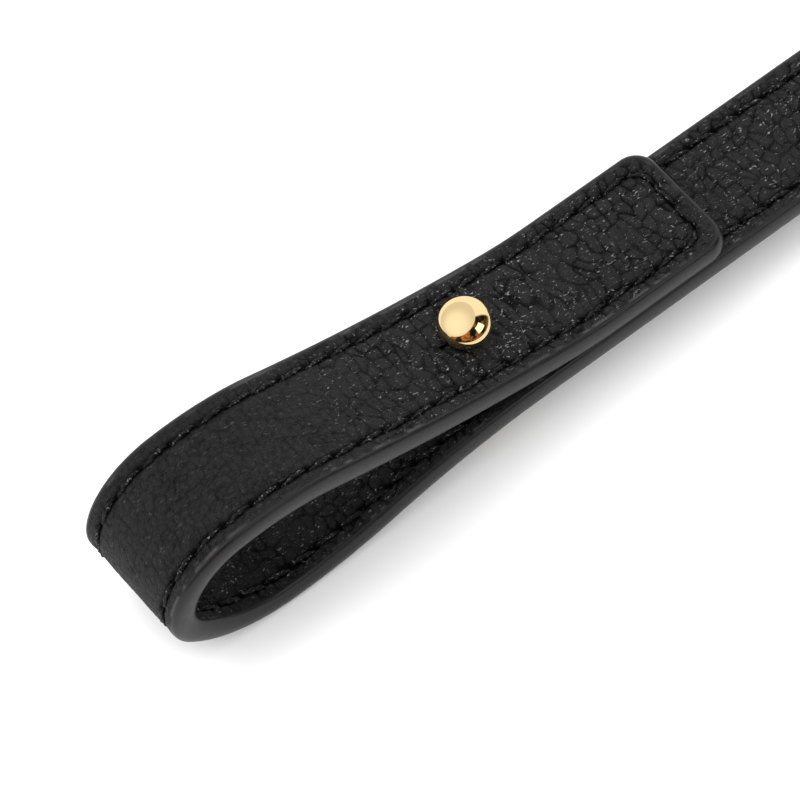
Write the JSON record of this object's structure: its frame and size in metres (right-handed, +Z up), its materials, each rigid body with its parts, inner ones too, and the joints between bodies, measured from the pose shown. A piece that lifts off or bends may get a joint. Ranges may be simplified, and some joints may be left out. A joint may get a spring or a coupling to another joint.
{
  "type": "riding crop",
  "caption": "Short riding crop: leather grip, tapered braided shaft, folded leather tongue, and a hanging strap that folds back into a loop held by a ball stud.",
  "frame": {"origin": "on the surface the crop lies on, below the middle of its whole length", "axes": "+X along the crop from the strap's loop to the tongue, +Z up, +Y to the left when looking along +X"},
  "size_m": [0.614, 0.0288, 0.0276],
  "materials": {
    "outer_leather": "black pebbled grain, satin",
    "lining_leather": "black pebbled grain, satin",
    "strap_filler": "bonded leather board, matte",
    "edge_paint": "rounded, polished black edge paint",
    "thread": "black bonded thread",
    "gold_metal": "polished, gold plated",
    "steel": "zinc plated",
    "washer_leather": "black, matte",
    "grip_core_wood": "turned beech",
    "grip_leather": "black pebbled grain, satin",
    "fibreglass": "pultruded glass fibre rod",
    "braid": "black plaited nylon, waxed",
    "whipping_thread": "black waxed binding thread",
    "tongue_leather": "black pebbled grain, satin",
    "stiffener": "leather board, matte"
  },
  "bodies": {
    "crop": {"butt_cap": "gold_metal", "cap_stud": "steel", "cap_washer": "washer_leather", "grip_core": "grip_core_wood", "grip_leather": "grip_leather", "grip_stitching": "thread", "grip_ferrule": "gold_metal", "shaft_rod": "fibreglass", "shaft_braid": "braid", "tip_collar": "gold_metal", "tip_whipping": "whipping_thread", "tongue_neck": "tongue_leather"},
    "ring": {"d_ring": "gold_metal"},
    "strap": {"strap_outer_ply": "outer_leather", "strap_core": "strap_filler", "strap_lining_ply": "lining_leather", "strap_edge_paint": "edge_paint", "strap_stitching": "thread", "loop_outer_ply": "outer_leather", "loop_core": "strap_filler", "loop_lining_ply": "lining_leather", "loop_edge_paint": "edge_paint", "loop_stitching": "thread", "root_rivets": "gold_metal", "stud_ball": "gold_metal", "stud_screw": "gold_metal"},
    "tab": {"tab_outer_ply": "outer_leather", "tab_core": "strap_filler", "tab_lining_ply": "lining_leather", "tab_edge_paint": "edge_paint", "tab_stitching": "thread"},
    "tongue": {"tongue_leather": "tongue_leather", "tongue_stiffener_board": "stiffener", "tongue_stitching": "thread"}
  },
  "joints": [
    {"name": "ring_swing", "type": "hinge", "parent": "crop", "child": "ring", "pos_m": [-0.13994, 0, 0.00766], "axis": [0, 1, 0], "range_deg": [-60, 60]},
    {"name": "strap_swing", "type": "hinge", "parent": "ring", "child": "strap", "pos_m": [-0.15554, 0, 0.00766], "axis": [0, 1, 0], "range_deg": [-60, 60]},
    {"name": "tab_lift", "type": "hinge", "parent": "strap", "child": "tab", "pos_m": [-0.30141, 0, 0.0162], "axis": [0, -1, 0], "range_deg": [0, 120], "deforming": ["loop_outer_ply", "loop_core", "loop_lining_ply", "loop_edge_paint", "loop_stitching"]},
    {"name": "tongue_flex", "type": "hinge", "parent": "crop", "child": "tongue", "pos_m": [0.245, 0, 0.00766], "axis": [0, -1, 0], "range_deg": [-45, 45], "stiffness_Nm_per_rad": 0.12, "deforming": ["tongue_neck"]}
  ]
}
